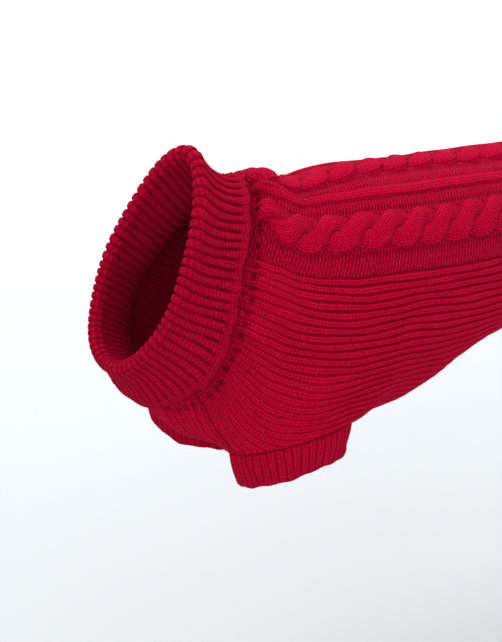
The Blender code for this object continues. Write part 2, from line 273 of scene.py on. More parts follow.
def stations():
    """Places of the rows: even on the middle of the side, turned round the leg openings."""
    hole_start, hole_end = HOLE_ALONG - HOLE_ALONG_RADIUS, HOLE_ALONG + HOLE_ALONG_RADIUS
    fine = np.linspace(0, 1, LENGTH_SAMPLES)
    length = path_length(body_points(fine, math.radians(60)), 0)

    def even(low, high, step):
        a, b = np.interp((low, high), fine, length)
        count = int(math.ceil((b - a) / step / COARSE_ROW)) * COARSE_ROW
        return np.interp(np.linspace(a, b, count + 1), length, fine)

    turned = HOLE_ALONG + HOLE_ALONG_RADIUS * np.cos(np.linspace(math.pi, 0, HOLE_ROWS + 1))
    front, rear = even(0, hole_start, FRONT_STEP), even(hole_end, 1, REAR_STEP)
    rows = np.concatenate([front[:-1], turned, rear[1:]])
    first = len(front) - 1
    return rows, first, first + HOLE_ROWS, np.interp(rows, fine, length) / ROW


def half_angles(side, along, distance):
    """Angles round the ring at which each row reaches its distances from the spine."""
    edge = HOLE_ANGLE - hole_half_angle(along)
    sample = np.linspace(0, 1, HALF_SAMPLES)[None, :] * edge[:, None]
    path = body_points(along[:, None], sample if side < 0 else 2 * math.pi - sample)
    length = path_length(path, 1)
    reach = length[:, -1]
    wanted = np.array([distance(i, reach[i]) for i in range(len(along))])
    found = np.array([np.interp(wanted[i], length[i], sample[i]) for i in range(len(along))])
    return found, reach, wanted


# ---- creases
# along and angle of each end (degrees from the spine, minus is the wearer's right side),
# width, and height out of the cloth: a trough is negative
CREASES = (
    # gathers that run back from under the collar, down the shoulder and chest
    (0.04, 62, 0.15, 66, 5, -1.2), (0.045, 74, 0.13, 80, 4, 1.1),
    (0.045, 84, 0.16, 96, 5, -1.5), (0.045, 95, 0.12, 107, 4, 1.2),
    (0.045, 104, 0.15, 120, 4.5, -1.4), (0.045, 116, 0.12, 130, 4, 1),
    (0.045, 128, 0.125, 139, 4.5, -1.3), (0.04, 145, 0.11, 150, 4, 0.9),
    (0.04, -64, 0.14, -69, 5, -1.2), (0.045, -78, 0.12, -83, 4, 1.1),
    (0.045, -90, 0.165, -101, 5, -1.5), (0.045, -101, 0.115, -113, 4, 1.1),
    (0.045, -112, 0.15, -125, 4.5, -1.5), (0.045, -127, 0.12, -139, 4.5, 1.1),
    (0.04, -142, 0.115, -149, 4, -1),
    (0.04, 158, 0.13, 160, 5, -1), (0.04, -161, 0.12, -165, 5, -1.1),
    (0.045, 171, 0.15, 175, 6, 1), (0.045, -176, 0.11, -178, 4, -0.9),
    # the drag from the shoulder over the front of each leg
    (0.15, 88, 0.19, 118, 9, -1.2), (0.17, 80, 0.24, 108, 9, 0.8),
    (0.15, -90, 0.195, -117, 9, -1.1), (0.175, -82, 0.25, -110, 9, 0.8),
    # the fullness at the back corner of each leg opening
    (0.35, 104, 0.385, 124, 11, 1.4), (0.35, -104, 0.385, -124, 11, 1.2),
    # slack behind the legs, and along the belly seam
    (0.4, 122, 0.52, 108, 8, -1), (0.43, 132, 0.6, 122, 8, 0.9),
    (0.4, -124, 0.51, -110, 8, -1.1), (0.44, -133, 0.61, -124, 8, 0.8),
    (0.56, 96, 0.7, 84, 12, -0.8), (0.6, -100, 0.73, -86, 12, -0.9),
    (0.76, 112, 0.9, 100, 10, -0.8), (0.78, -116, 0.91, -98, 10, -0.7),
    (0.9, 70, 0.99, 74, 9, 0.8), (0.89, -64, 0.985, -72, 9, 0.8),
    # folds across the chest and belly
    (0.18, 176, 0.28, 184, 9, -1.2), (0.42, 168, 0.5, 190, 9, -1),
    (0.62, 192, 0.72, 170, 10, -0.9), (0.85, 168, 0.93, 190, 10, -0.8),
    # the cloth bunched behind the collar on the back
    (0.07, 18, 0.09, 46, 4, -1.2), (0.074, -14, 0.088, -44, 4, -1.1),
    (0.118, 30, 0.128, 58, 6, -1), (0.116, -28, 0.13, -60, 6, -1),
)


def gathers():
    """The eyelets under the collar's edge, and the puckers that run back from them."""
    random = np.random.default_rng(GATHER_SEED)
    angle = np.linspace(0, 2 * math.pi, 721)
    along = np.interp(np.degrees(np.minimum(angle, 2 * math.pi - angle)),
                      *zip(*GATHER_ALONG))
    length = path_length(body_points(along, angle), 0)
    count = int(length[-1] / GATHER_PITCH)
    place = (np.arange(count) + random.uniform(-0.22, 0.22, count)) * length[-1] / count
    at = np.interp(place, length, angle)
    along = np.interp(place, length, along) + random.uniform(-0.002, 0.002, count)
    eyelets = np.stack([along, at, random.uniform(0.7, 1.0, count)], axis=-1)
    puckers = []
    for start, angle, strength in eyelets:
        reach = random.uniform(0.020, 0.050)
        turn = math.degrees(angle)
        lean = random.uniform(-2.0, 2.0)
        puckers.append((start, turn, start + reach, turn + lean, PUCKER_WIDTH,
                        PUCKER_DEPTH * strength))
    return eyelets, puckers


def eyelet_nearness(points):
    """1 in the middle of an eyelet, falling to 0 round it."""
    flat = points.reshape(-1, 3)
    near = np.zeros(len(flat))
    for along, angle, strength in EYELETS:
        middle = body_points(along, angle)
        close = np.flatnonzero((np.abs(flat - middle) < 3 * EYELET_SIZE).all(1))
        gap = np.linalg.norm(flat[close] - middle, axis=-1)
        near[close] = np.maximum(near[close], strength * bell(gap, EYELET_SIZE))
    return near.reshape(points.shape[:-1])


def creased(points):
    """How far the listed creases and the gathers move the cloth out."""
    flat = points.reshape(-1, 3)
    moved = np.zeros(len(flat))
    for along_a, angle_a, along_b, angle_b, width, height in CREASES + tuple(PUCKERS):
        t = np.linspace(0, 1, 13)
        line = body_points(along_a + (along_b - along_a) * t,
                           np.radians(angle_a + (angle_b - angle_a) * t) % (2 * math.pi))
        low, high = line.min(0) - 3 * width, line.max(0) + 3 * width
        near = np.flatnonzero(((flat > low) & (flat < high)).all(1))
        if not len(near):
            continue
        gap = np.linalg.norm(flat[near, None] - line[None], axis=-1)
        best = gap.argmin(1)
        ends = soft_step(np.minimum(t[best], 1 - t[best]) * 3.0 + 0.15)
        moved[near] += height * ends * bell(gap.min(1), width)
    return moved.reshape(points.shape[:-1]) - EYELET_DEPTH * eyelet_nearness(points)


EYELETS, PUCKERS = gathers()


def uneven(points):
    """A slow swell of the cloth, so that no side is perfectly even."""
    x, y, z = (points[..., i] for i in range(3))
    return UNEVEN * (np.sin(x / 17.0 + z / 29.0 + 0.7) * np.sin(z / 14.0 - y / 31.0 + 1.9)
                     + 0.6 * np.sin(x / 7.3 + y / 11.0 + 4.1) * np.sin(z / 8.1 + x / 23.0))


# ---- meshes
def placed(name, data):
    made = bpy.data.objects.new(name, data)
    bpy.context.scene.collection.objects.link(made)
    return made


def quads(rows, columns, closed, flip):
    """Corners of a grid's faces, wound the other way when flipped."""
    i, j = np.meshgrid(np.arange(rows - 1), np.arange(columns if closed else columns - 1),
                       indexing="ij")
    k = (j + 1) % columns
    corners = np.stack([i * columns + j, i * columns + k, (i + 1) * columns + k,
                        (i + 1) * columns + j], axis=-1).reshape(-1, 4)
    return corners[:, ::-1] if flip else corners


def zip_edges(fine, coarse):
    """Triangles between a fine run of vertices and a coarse one beside it."""
    step = (len(fine) - 1) // (len(coarse) - 1)
    faces = []
    for n in range(len(coarse) - 1):
        a, b = coarse[n], coarse[n + 1]
        run = fine[n * step:(n + 1) * step + 1]
        middle = step // 2
        for m in range(step):
            faces.append((run[m], run[m + 1], a if m < middle else b))
        faces.append((run[middle], b, a))
    return faces


def shell(name, fine, coarse, coarse_at, uv, lit_share, material, closed=False, purl=None,
          face_uv=None):
    """A closed piece of cloth: a fine grid on the side that shows, a coarse one behind.

    coarse_at is the fine rows and columns that the coarse grid lies under, uv the place in
    ribs and rows of stitches, the argument after it how far up a rib it is, as painted shade (1
    on a crown, lower in grooves, seams and eyelets), and purl 1 on the ground.
    """
    rows, columns = fine.shape[:2]
    r_at, c_at = coarse_at
    under = rows * columns
    r_count, c_count = len(r_at), len(c_at)
    front = quads(rows, columns, closed, False)
    back = quads(r_count, c_count, closed, True) + under
    fine_id = np.arange(under).reshape(rows, columns)
    coarse_id = np.arange(r_count * c_count).reshape(r_count, c_count) + under
    if closed:
        fine_id = np.concatenate([fine_id, fine_id[:, :1]], axis=1)
        coarse_id = np.concatenate([coarse_id, coarse_id[:, :1]], axis=1)
    rim = zip_edges(fine_id[0][::-1], coarse_id[0][::-1])
    rim += zip_edges(fine_id[-1], coarse_id[-1])
    if not closed:
        rim += zip_edges(fine_id[:, 0], coarse_id[:, 0])
        rim += zip_edges(fine_id[:, -1][::-1], coarse_id[:, -1][::-1])
    points = (np.concatenate([fine.reshape(-1, 3), coarse.reshape(-1, 3)]) - ORIGIN) * MM
    mesh = bpy.data.meshes.new(name)
    mesh.from_pydata(points.tolist(), [], front.tolist() + back.tolist() + rim)
    mesh.update()
    mesh.shade_smooth()
    corner = np.empty(len(mesh.loops), np.int32)
    mesh.loops.foreach_get("vertex_index", corner)
    per_vertex = np.concatenate([uv.reshape(-1, 2), uv[np.ix_(r_at, c_at)].reshape(-1, 2)])
    corner_uv = per_vertex[corner]
    if face_uv is not None:
        corner_uv[:len(front) * 4] = face_uv.reshape(-1, 2)
    layer = mesh.uv_layers.new(name="stitch")
    layer.data.foreach_set("uv", corner_uv.astype(np.float32).ravel())
    if purl is None:
        purl = np.zeros(lit_share.shape)
    # the painted shade goes on the vertices as an attribute; the inside gets a flat 0.6 of full
    # colour
    behind = np.zeros(r_count * c_count)
    for title, values in (("lit_share", np.concatenate([lit_share.ravel(), behind + 0.6])),
                          ("purl", np.concatenate([purl.ravel(), behind]))):
        attribute = mesh.attributes.new(title, "FLOAT", "POINT")
        attribute.data.foreach_set("value", values.astype(np.float32))
    piece = placed(name, mesh)
    mesh.materials.append(material)
    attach(piece, "root")
    return piece


def coarse_rows(count, step):
    """Every step-th of a count of rows, and the last."""
    return np.unique(np.append(np.arange(0, count, step), count - 1))


def rolled_edge(face, behind, away, reach, turns):
    """Rows that carry a free edge round from the cloth's face towards its back."""
    middle, half = (face + behind) / 2, (face - behind) / 2
    return np.array([middle + half * math.cos(turn) + away * reach * math.sin(turn)
                     for turn in np.radians(turns)])


def stitch_places(u, length, extra):
    """uv of a tube's rows, and of the extra ones on its rolled edge."""
    beyond = length[-1:] + np.arange(1, extra + 1)[:, None] * ROLL_ROW
    return np.stack([np.concatenate([u, np.repeat(u[-1:], extra, 0)]),
                     np.concatenate([length, beyond]) / ROW], axis=-1)


# ---- relief
def rib_profile(u, share):
    """A rib's height, 0 in the groove at whole numbers and 1 on the crown."""
    x = np.abs((u % 1.0) - 0.5) * 2
    return np.sqrt(np.clip(1 - np.clip(x / share, 0, 1)**3.0, 0, 1))


def strand_path(t, reach):
    """A strand's middle and slope across the cable, at each of its crossings."""
    return reach * np.sin(math.pi * t), math.pi * reach / CROSSING * np.cos(math.pi * t)


def cable_relief(along_mm, across_mm, half_width, phase):
    """Height, owner and nearness to a strand's edge, on a two-strand cable.

    A strand swings across the cable as a sine and rises over its neighbour as a cosine,
    so that it lies on top wherever it runs the cable's way.
    """
    reach, strand = half_width * STRAND_SWING, half_width * STRAND_HALF
    r, p = along_mm / CROSSING + phase, -across_mm
    best = np.full(np.shape(r + p), NO_STRAND)
    second = best.copy()
    owner = np.zeros(best.shape, int)
    base = np.floor(r)
    for step in (-1, 0, 1, 2):
        k = base + step
        t = r - k
        centre, slope = strand_path(t, reach)
        across = np.abs(p - centre) / (strand * np.sqrt(1 + slope**2))
        tube = np.sqrt(np.clip(1 - across**2, 0, 1))
        height = STRAND_CLIMB * np.cos(math.pi * (t + DIVE)) + STRAND_ROUND * tube
        height = np.where((across < 1) & (np.abs(t) < 1), height, NO_STRAND)
        better = height > best
        second = np.where(better, best, np.maximum(second, height))
        best = np.where(better, height, best)
        owner = np.where(better, k, owner).astype(int)
    return best, owner, bell(best - np.maximum(second, VALLEY_FLOOR), VALLEY_WIDTH)


def strand_uv(along_mm, across_mm, half_width, phase, owner):
    """Stitch places along each point's own strand."""
    centre, slope = strand_path(along_mm / CROSSING + phase - owner, half_width * STRAND_SWING)
    off = -across_mm - centre
    u = off / np.sqrt(1 + slope**2) / STRAND_WALE
    v = (along_mm * 1.12 + off * slope * 0.75) / ROW
    return np.stack([u, v], axis=-1)


# ---- materials
# the second red is painted shade: the colour the wool is darkened to in grooves and between
# stitches
RED, SHADE_RED = (0.57, 0.0, 0.030), (0.065, 0.0, 0.003)
YARN_SCALE, PATCH_SCALE, NOISE_DETAIL = 900.0, 85.0, 3.0
ROW_WANDER = 0.35  # rows by which the stitches drift up and down
ONE_WALE, TWO_WALES = 0.84, 0.37  # width of one wale on each kind of rib, of its pitch
GROOVE_FROM, GROOVE_SHARP = 0.45, 14.0
BUMP, FUZZ_BUMP = {"Strength": 0.9, "Distance": 0.0008}, 0.35
STITCH_LIGHT, PURL_LIGHT = 0.34, 0.05  # how light the gaps between stitches stay under their painted shade
FIBRE_FROM, FIBRE_SHARE = 0.45, 0.9  # pale fibres in the yarn
WOOL_SHADER = {"Roughness": 0.92, "Specular IOR Level": 0.02, "Sheen Weight": 0.06,
               "Sheen Roughness": 0.4, "Sheen Tint": (1.0, 0.10, 0.30, 1.0)}


def set_sockets(node, values):
    for socket, value in values.items():
        node.inputs[socket].default_value = value


class Nodes:
    """A short way to write maths in a material's node tree."""

    def __init__(self, name):
        self.made = bpy.data.materials.new(name)
        self.made.use_nodes = True
        self.tree = self.made.node_tree
        self.shader = self.tree.nodes["Principled BSDF"]

    def add(self, kind):
        return self.tree.nodes.new("ShaderNode" + kind)

    def join(self, source, target):
        if isinstance(source, (int, float, tuple)):
            target.default_value = source
        else:
            self.tree.links.new(source, target)

    def math(self, operation, *values, clamp=False):
        node = self.add("Math")
        node.operation = operation
        node.use_clamp = clamp
        for value, socket in zip(values, node.inputs):
            self.join(value, socket)
        return node.outputs[0]

    def plus(self, a, b):
        return self.math("ADD", a, b)

    def minus(self, a, b, clamp=False):
        return self.math("SUBTRACT", a, b, clamp=clamp)

    def times(self, a, b, clamp=False):
        return self.math("MULTIPLY", a, b, clamp=clamp)

    def mix(self, share, a, b):
        """a where share is 0, b where it is 1."""
        return self.plus(self.times(a, self.minus(1.0, share)), self.times(b, share))

    def colour_mix(self, share, a, b):
        node = self.add("Mix")
        node.data_type = "RGBA"
        self.join(share, node.inputs[0])
        for value, socket in ((a, node.inputs[6]), (b, node.inputs[7])):
            self.join((*value, 1.0) if isinstance(value, tuple) else value, socket)
        return node.outputs[2]

    def attribute(self, name):
        node = self.add("Attribute")
        node.attribute_name = name
        return node.outputs["Fac"]

    def noise(self, place, scale):
        node = self.add("TexNoise")
        set_sockets(node, {"Scale": scale, "Detail": NOISE_DETAIL})
        self.join(place, node.inputs["Vector"])
        return node.outputs["Fac"]


def knit_height(n, x, v):
    """Two slanted legs of a stitch in each wale; x runs from -0.5 to 0.5 over the wale."""
    leg_middle, leg_lean, waist = 0.25, -1.1, 0.25
    leg = n.math("ABSOLUTE", x)
    off = n.times(n.minus(leg, leg_middle), 1 / leg_middle)
    across = n.minus(1.0, n.times(off, off), clamp=True)
    phase = n.math("FRACT", n.plus(v, n.times(leg, leg_lean)))
    swing = n.minus(n.times(phase, 2.0), 1.0)
    along = n.minus(1.0, n.math("POWER", n.math("ABSOLUTE", swing), 3.0))
    return n.times(n.math("POWER", across, 0.6), n.plus(waist, n.times(along, 1 - waist)))


def purl_height(n, x, v):
    """Rows of short bars, each bowed over its wale."""
    bow_rows, crown_middle, crown_swing = 0.10, 1.05, 0.20
    turn = n.times(x, 2 * math.pi)
    bow = n.times(n.math("COSINE", turn), bow_rows)
    phase = n.math("FRACT", n.plus(v, bow))
    swing = n.minus(n.times(phase, 2.0), 1.0)
    bar = n.minus(1.0, n.math("POWER", n.math("ABSOLUTE", swing), 0.9))
    crown = n.plus(crown_middle, n.times(n.math("COSINE", turn), crown_swing))
    return n.times(bar, crown)


def rib_height(n, pattern, u, v):
    """Knit stitches on the ribs, and faint purl bars down in the grooves."""
    inside = n.minus(n.math("FRACT", u), 0.5)
    if pattern == "rib1":
        x = n.math("DIVIDE", inside, ONE_WALE)
        edge = n.math("ABSOLUTE", x)
    else:
        wale = n.math("DIVIDE", inside, TWO_WALES)
        edge = n.times(n.math("ABSOLUTE", wale), 0.5)
        x = n.minus(n.math("FRACT", wale), 0.5)
    groove = n.times(n.minus(edge, GROOVE_FROM), GROOVE_SHARP, clamp=True)
    height = n.times(knit_height(n, x, v), n.minus(1.0, groove))
    bars = n.times(n.times(purl_height(n, u, v), 0.25), groove)
    return n.plus(height, bars)


def wool(name, colour, shade_colour, pattern, shade_depth, row_shade=0.0):
    """Soft acrylic yarn, knitted: pattern is rib1, rib2 or cable.

    The second colour is painted shade, that the wool is darkened to in its grooves and between
    stitches; the depth argument is how far the mesh's painted-shade attribute darkens them, and
    the last how far each row of stitches is painted as a bar of shade.
    """
    n = Nodes(name)
    place = n.add("UVMap")
    place.uv_map = "stitch"
    split = n.add("SeparateXYZ")
    n.join(place.outputs[0], split.inputs[0])
    u, v = split.outputs[0], split.outputs[1]

    solid = n.add("TexCoord").outputs["Object"]
    yarn, patch = n.noise(solid, YARN_SCALE), n.noise(solid, PATCH_SCALE)
    v = n.plus(v, n.times(n.minus(patch, 0.5), ROW_WANDER))

    if pattern == "cable":
        x = n.minus(n.math("FRACT", u), 0.5)
        purl = n.attribute("purl")
        height = n.mix(purl, knit_height(n, x, v), purl_height(n, x, v))
    else:
        height = rib_height(n, pattern, u, v)

    bump = n.add("Bump")
    set_sockets(bump, BUMP)
    fuzzy = n.plus(height, n.times(yarn, FUZZ_BUMP))
    n.join(fuzzy, bump.inputs["Height"])
    n.join(bump.outputs["Normal"], n.shader.inputs["Normal"])

    # painted shade in the gaps between stitches, darker the lower the stitch
    light = n.plus(STITCH_LIGHT, n.times(height, 1 - STITCH_LIGHT))
    if pattern == "cable":
        light = n.mix(purl, light, n.plus(PURL_LIGHT, height))
    # painted shade between the rows of stitches, as bars
    bars = n.math("COSINE", n.times(v, 2 * math.pi))
    light = n.times(light, n.plus(1.0, n.times(bars, row_shade)))
    # painted shade of grooves, seams and eyelets, read from the mesh
    groove_shading = n.plus(1.0 - shade_depth, n.times(n.attribute("lit_share"), shade_depth))
    # the wool is mixed towards its painted shade colour where shaded
    tone = n.colour_mix(n.times(light, groove_shading, clamp=True), shade_colour, colour)
    tint = n.times(n.minus(yarn, FIBRE_FROM), FIBRE_SHARE, clamp=True)
    pale = tuple(min(1.0, c * 1.5 + 0.02) for c in colour)
    n.join(n.colour_mix(tint, tone, pale), n.shader.inputs["Base Color"])
    set_sockets(n.shader, WOOL_SHADER)
    return n.made


# each wool's second colour is the painted shade in its grooves
wool_cable = wool("wool_cable", (0.56, 0.0, 0.032), SHADE_RED, "cable", shade_depth=0.55)
wool_side = wool("wool_side_rib", RED, SHADE_RED, "rib1", shade_depth=0.54)
wool_collar = wool("wool_collar_rib", (0.54, 0.0, 0.030), (0.030, 0.0, 0.001), "rib2",
                   shade_depth=0.66, row_shade=0.22)
wool_cuff = wool("wool_cuff_rib", (0.54, 0.0, 0.028), SHADE_RED, "rib1", shade_depth=0.28)
wool_hem = wool("wool_hem_rib", RED, (0.035, 0.0, 0.002), "rib2", shade_depth=0.7)


# ---- the body panels
def rib_depth(along, share):
    """Depth of the side ribs: shallow by the collar, on the leg's front and on the belly."""
    back = soft_step((along - 0.05) / 0.15)
    low = soft_step((share - 0.35) / 0.45)
    leg_front = low * (1 - soft_step((along - 0.20) / 0.14))
    belly = low * soft_step((along - 0.30) / 0.10)
    return (0.5 + 0.5 * back) * (1 - 0.7 * leg_front) * (1 - 0.3 * belly)


def calm_at_seams(rows):
    """0 at the collar's seam and the hem band's, 1 away from them."""
    return soft_step(rows / 0.02) * soft_step((1 - rows) / 0.02)


def faces(base, relief, swell):
    """The side of a panel that shows, and its inside."""
    normal = outward(base)
    return (base + normal * (relief + swell)[..., None],
            base + normal * (swell * INSIDE_FOLLOWS - WALL)[..., None])


def bunched(base, distance, rows):
    """Small folds of the cloth pushed together on the back, behind the collar."""
    x, y = base[..., 0], base[..., 1]
    amount = soft_step((rows - 0.03) / 0.02) * soft_step((0.125 - rows) / 0.03)
    return amount[:, None] * bell(distance, 34.0) * (
        0.8 * np.sin(x / 2.9 + y / 5.3 + 1.0) * np.sin(y / 3.7 + 0.4)
        + 0.5 * np.sin(y / 2.1 + x / 6.0))


def cable_strip(base, lines, rows, row_count, spread, distance):
    """Relief, painted shade and stitch places of the strip with the cables, from edge to edge.
    """
    cloth_x = np.broadcast_to(spread[None, :], distance.shape)
    row_at = np.broadcast_to(row_count[:, None], distance.shape)
    uv = np.stack([distance / PURL_WALE, row_at * PURL_ROW + distance * PURL_SLANT], axis=-1)
    corners = quads(*distance.shape, False, False)
    face_uv = uv.reshape(-1, 2)[corners]

    ridge_middle, ridge_half, ridge_rise, split_depth, split_width = RIDGE
    x = (np.abs(cloth_x) - ridge_middle) / ridge_half
    on = np.abs(x) < 1
    rise = ridge_rise * np.sqrt(np.clip(1 - np.abs(x)**2.4, 0, 1)) * (
        1 - split_depth * bell(x, split_width))
    height = np.where(on, rise, 0.0)
    purl = np.where(on, 0.0, 1.0)
    # painted shade, darker towards the ridge's foot
    lit_share = np.where(on, 0.5 + 0.5 * np.clip(rise / ridge_rise, 0, 1), 1.0)
    on_faces = on.ravel()[corners].all(1)
    ridge_uv = np.stack([x, row_at], axis=-1)
    face_uv[on_faces] = ridge_uv.reshape(-1, 2)[corners[on_faces]]
    for edge in DIP_EDGES:
        beside = np.abs(np.abs(cloth_x) - edge)
        height = height - DIP_DEPTH * bell(beside, DIP_WIDTH) * ~on
        # and painted shade down in the dip
        lit_share = lit_share - DIP_SHADE * bell(beside, DIP_SHADE_WIDTH) * ~on

    # the cables are drawn narrow under the collar
    gathered = (0.72 + 0.28 * soft_step((rows - 0.045) / 0.05))[:, None]
    for side, half_width, phase, rises, full in CABLES:
        column = np.argmin(np.abs(spread - side * PANEL_LINES[1]))
        run = np.broadcast_to(path_length(base[:, column], 0)[:, None], distance.shape)
        across = distance - side * lines[:, 1][:, None]
        wide = np.broadcast_to(half_width * gathered, distance.shape)
        best, _, valley = cable_relief(run, across, wide, phase)
        fade = soft_step((rows - rises) / (full - rises))[:, None]
        inside = (best > CABLE_FOOT) & (fade > 0.02)
        height = np.where(inside, (CABLE_STANDS + best - 0.7 * valley) * fade, height)
        purl = np.where(inside, 0.0, purl)
        # painted shade: darker low on a strand and in the valley where it passes under its
        # neighbour
        strand_lit_share = (0.25 + 0.75 * np.clip((best + 0.6) / 3.4, 0, 1)) * (1 - 0.72 * valley)
        lit_share = np.where(inside, 0.6 + (strand_lit_share - 0.6) * fade, lit_share)
        at_face = [field.ravel()[corners].mean(1) for field in (run, across, wide)]
        face_best, face_owner, _ = cable_relief(*at_face, phase)
        mine = (face_best > CABLE_FOOT) & inside.ravel()[corners].any(1)
        face_uv[mine] = strand_uv(run.ravel()[corners[mine]], across.ravel()[corners[mine]],
                                  at_face[2][mine, None], phase, face_owner[mine, None])
    # everything flattens into the hem band's seam
    height = height * (0.3 + 0.7 * soft_step((1 - rows) / 0.014))[:, None]
    return height, purl, lit_share, uv, face_uv


def ribbed_side(x, u, rows, share, to_seam, by_leg):
    """Rib places, relief and painted shade in the grooves and seam of a side, from the cable
    strip to the chest's seam.
    """
    calm = np.clip(u, 0, 1)
    u = u + calm * (0.09 * np.sin(x / 21.0 + u * 0.7) + 0.06 * np.sin(x / 8.0 - u * 1.3 + 2))
    groove = 1 - rib_profile(u, RIB_SHARE)
    depth = rib_depth(rows[:, None], share[None, :])
    depth = depth * (1 - 0.22 * calm * (0.5 + 0.5 * np.sin(u * 2.4 + 1.0 + x / 33.0)))
    seam = bell(to_seam, SEAM_WIDTH)
    chain = bell(to_seam - CHAIN_AT, CHAIN_WIDTH) * by_leg[:, None]
    relief = RIB_RISE - RIB_DEPTH * depth * groove
    relief = relief * (1 - seam) - SEAM_DIP * seam + CHAIN_RISE * chain
    # painted shade in the grooves and the seam, none on the picked-up chain
    lit_share = (1 - depth * groove) * (1 - 0.7 * seam)
    return u, relief, lit_share + (1 - lit_share) * chain


def body():
    rows, first, last, row_count = stations()
    lines = np.stack([smooth(KNIT_LINES, column, rows)
                      for column in range(1, len(KNIT_LINES[0]))], axis=-1)
    start = lines[:, 2]
    half_panel = np.linspace(0, CABLE_PANEL, PANEL_COLUMNS // 2 + 1)
    share = np.linspace(0, 1, SIDE_COLUMNS + 1)

    def distances(i, reach):
        panel = np.interp(half_panel, (0,) + PANEL_LINES, (0, *lines[i, :3]))
        return np.concatenate([panel, start[i] + (reach - start[i]) * share[1:]])

    # one grid over the back and both sides; its columns run from the wearer's right to left
    left, reach_left, far_left = half_angles(-1, rows, distances)
    right, reach_right, far_right = half_angles(1, rows, distances)
    angle = np.concatenate([(2 * math.pi - right)[:, :0:-1], left], axis=1)
    base = body_points(rows[:, None], angle % (2 * math.pi))
    distance = np.concatenate([-far_right[:, :0:-1], far_left], axis=1)
    middle, half_strip = right.shape[1] - 1, PANEL_COLUMNS // 2
    strip = slice(middle - half_strip, middle + half_strip + 1)
    spread = np.concatenate([-half_panel[:0:-1], half_panel])

    height, purl, lit_share, uv, face_uv = cable_strip(base[:, strip], lines, rows, row_count,
                                                  spread, distance[:, strip])
    groove_height = RIB_RISE - RIB_DEPTH * rib_depth(rows, 0.0)[:, None]
    groove = bell(np.abs(spread) - CABLE_PANEL, 1.2)[None, :]
    height = height * (1 - groove) + groove_height * groove
    # painted shade in the groove where the strip meets the sides
    lit_share = lit_share * (1 - 0.75 * groove)

    numbers = np.array(GROOVES + (GROOVES[-1] + FAR_GROOVES,), float)
    last_pitch = (lines[:, -1] - lines[:, -2]) / (GROOVES[-1] - GROOVES[-2])
    far_line = (lines[:, -1] + FAR_GROOVES * last_pitch)[:, None]
    places = np.concatenate([lines[:, 2:], far_line], 1)
    by_leg = soft_step((rows - rows[first]) / 0.01) * soft_step((rows[last] - rows) / 0.01)
    relief = np.zeros(base.shape[:2])
    sides = {}
    for side, reach, at in ((-1, reach_left, slice(middle + half_strip, None)),
                            (1, reach_right, slice(middle - half_strip, None, -1))):
        far = np.abs(distance[:, at])
        u = np.array([np.interp(far[i], places[i], numbers) for i in range(len(rows))])
        to_seam = (reach - start)[:, None] * (1 - share[None, :])
        u, relief[:, at], side_lit_share = ribbed_side(base[:, at][..., 0], u, rows, share,
                                                  to_seam, by_leg)
        sides[side] = at, u, side_lit_share
    relief[:, strip] = height

    edge_calm = np.ones(base.shape[1])
    edge_calm[:EDGE_COLUMNS] = soft_step(np.linspace(0, 1, EDGE_COLUMNS))
    edge_calm[-EDGE_COLUMNS:] = soft_step(np.linspace(1, 0, EDGE_COLUMNS))
    swell = creased(base) + uneven(base) + bunched(base, distance, rows)
    swell = swell * calm_at_seams(rows)[:, None] * edge_calm[None, :]
    outer, inner = faces(base, relief, swell)
    # painted shade in the eyelets
    dark = 1 - EYELET_SHADE * eyelet_nearness(base)

    r_at = coarse_rows(len(rows), COARSE_ROW)
    c_at = coarse_rows(PANEL_COLUMNS + 1, COARSE_COLUMN)
    cables = shell("back_cables", outer[:, strip], inner[:, strip][np.ix_(r_at, c_at)],
                   (r_at, c_at), uv, lit_share * dark[:, strip], wool_cable, purl=purl,
                   face_uv=face_uv)
    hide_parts("back_panel")

    c_at = coarse_rows(SIDE_COLUMNS + 1, COARSE_COLUMN)
    for side, name in ((-1, "side_ribs_left"), (1, "side_ribs_right")):
        at, u, side_lit_share = sides[side]
        columns = np.arange(base.shape[1])[at]
        if side > 0:
            columns, u, side_lit_share = columns[::-1], u[:, ::-1], side_lit_share[:, ::-1]
        side_uv = np.stack([u, row_count[:, None] * np.ones_like(u)], axis=-1)
        piece = shell(name, outer[:, columns], inner[np.ix_(r_at, columns[c_at])],
                      (r_at, c_at), side_uv, side_lit_share * dark[:, columns], wool_side)
        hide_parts("back_panel")

    chest(rows, row_count, r_at)


def chest(rows, row_count, r_at):
    """The chest and belly, between the sides' lower edges."""
    edge = HOLE_ANGLE + hole_half_angle(rows)
    across = np.linspace(0, 1, CHEST_COLUMNS + 1)[None, :]
    base = body_points(rows[:, None], edge[:, None] + (2 * math.pi - 2 * edge[:, None]) * across)
    width = path_length(base, 1)
    u = (width - width[:, -1:] / 2) / CHEST_PITCH + 0.5
    u = u + 0.08 * np.sin(base[..., 0] / 19.0 + u)
    groove = 1 - rib_profile(u, RIB_SHARE)
    beside = np.minimum(width, width[:, -1:] - width)
    seam = bell(beside, SEAM_WIDTH)
    depth = 0.35 + 0.4 * soft_step((rows - 0.1) / 0.3)[:, None]
    relief = (1.0 - 1.5 * depth * groove) * (1 - seam) - SEAM_DIP * seam
    swell = (creased(base) + uneven(base)) * calm_at_seams(rows)[:, None] * soft_step(beside / 6)
    outer, inner = faces(base, relief, swell)
    c_at = coarse_rows(CHEST_COLUMNS + 1, COARSE_COLUMN)
    uv = np.stack([u, row_count[:, None] * np.ones_like(u)], axis=-1)
    # painted shade in the grooves, the seams and the eyelets
    lit_share = (1 - depth * groove) * (1 - 0.6 * seam) * (1 - EYELET_SHADE * eyelet_nearness(base))
    piece = shell("chest_panel_knit", outer, inner[np.ix_(r_at, c_at)], (r_at, c_at), uv, lit_share,
                  wool_side)
    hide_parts("chest_panel")


